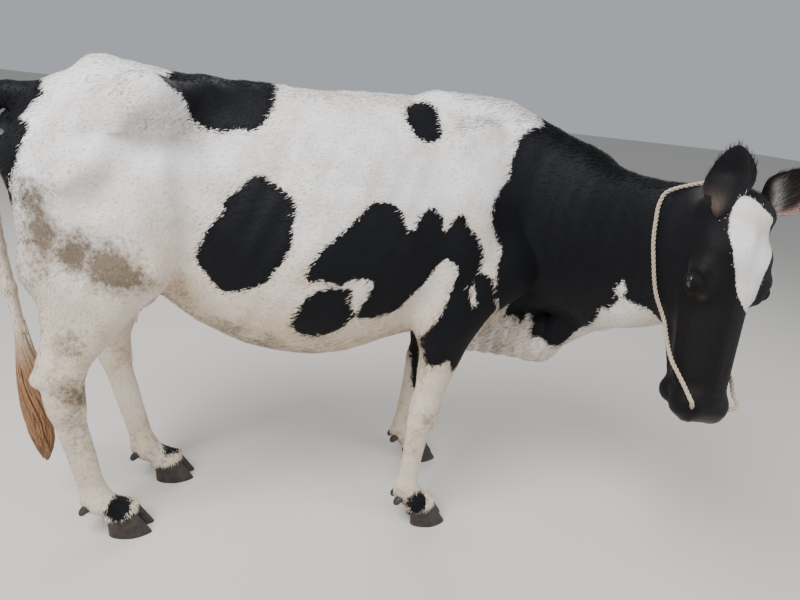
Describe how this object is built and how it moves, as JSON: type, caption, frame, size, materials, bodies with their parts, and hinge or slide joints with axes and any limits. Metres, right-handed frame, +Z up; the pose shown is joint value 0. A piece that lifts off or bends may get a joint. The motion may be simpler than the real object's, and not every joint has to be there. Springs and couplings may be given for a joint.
{
  "type": "cow",
  "caption": "Standing dairy cow with its head lowered and turned to its right, in a rope nose halter, as a still life-size model.",
  "frame": {"origin": "on the floor, at the middle of the model's bounding box in plan", "axes": "+X the way the trunk faces, +Y to the cow's left, +Z up from the floor"},
  "size_m": [1.8218, 0.9948, 1.3026],
  "materials": {
    "trunk": "short flat white coat with black patches",
    "leg": "short flat white coat, black marks at elbow and coronet",
    "tail": "short flat white coat",
    "neck": "short flat black coat with a white lower edge",
    "head": "short flat black coat with a white blaze",
    "ear": "thin haired skin, black outside and brown-grey inside",
    "udder": "thinly haired pinkish skin",
    "switch": "long coarse hair stained orange-brown",
    "eye": "wet dark brown eye",
    "hoof": "dull dark horn",
    "dewclaw": "dull dark horn",
    "rope": "soft twisted pale cotton rope"
  },
  "bodies": {
    "root": {"dewclaw_hind_right_outer": "dewclaw", "hoof_hind_right_outer": "hoof", "dewclaw_hind_right_inner": "dewclaw", "hoof_hind_right_inner": "hoof", "leg_hind_right": "leg", "dewclaw_hind_left_outer": "dewclaw", "hoof_hind_left_outer": "hoof", "dewclaw_hind_left_inner": "dewclaw", "hoof_hind_left_inner": "hoof", "leg_hind_left": "leg", "dewclaw_fore_right_outer": "dewclaw", "hoof_fore_right_outer": "hoof", "dewclaw_fore_right_inner": "dewclaw", "hoof_fore_right_inner": "hoof", "leg_fore_right": "leg", "dewclaw_fore_left_outer": "dewclaw", "hoof_fore_left_outer": "hoof", "dewclaw_fore_left_inner": "dewclaw", "hoof_fore_left_inner": "hoof", "leg_fore_left": "leg", "trunk": "trunk", "udder": "udder", "neck": "neck", "head": "head", "ear_right": "ear", "ear_left": "ear", "eye_right": "eye", "eye_left": "eye", "tail": "tail", "tail_switch": "switch", "nose_rope": "rope"}
  },
  "joints": []
}
